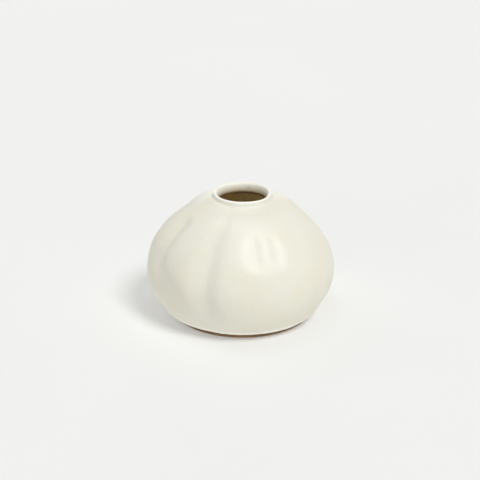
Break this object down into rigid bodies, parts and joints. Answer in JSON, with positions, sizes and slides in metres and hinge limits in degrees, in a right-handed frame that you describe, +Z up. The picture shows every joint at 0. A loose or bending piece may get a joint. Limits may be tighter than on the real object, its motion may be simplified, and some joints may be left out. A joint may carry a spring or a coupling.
{
  "type": "bud vase",
  "caption": "Squat, softly lobed stoneware bud vase with a short collar and rolled lip, ivory glaze outside and a bare clay foot ring; holds water and a few stems.",
  "frame": {"origin": "on the surface that the foot ring stands on, under the middle of the body", "axes": "+Z up through the mouth, -Y towards the front that the picture shows, +X to the right in that view"},
  "size_m": [0.1022, 0.1015, 0.0683],
  "materials": {
    "stoneware": "matte",
    "ivory_glaze": "satin",
    "honey_liner": "satin"
  },
  "bodies": {
    "root": {"foot_ring": "stoneware", "base_disc": "stoneware", "lower_wall": "stoneware", "shoulder_wall": "stoneware", "neck_collar": "stoneware", "outer_glaze": "ivory_glaze", "liner_glaze": "honey_liner"}
  },
  "joints": []
}
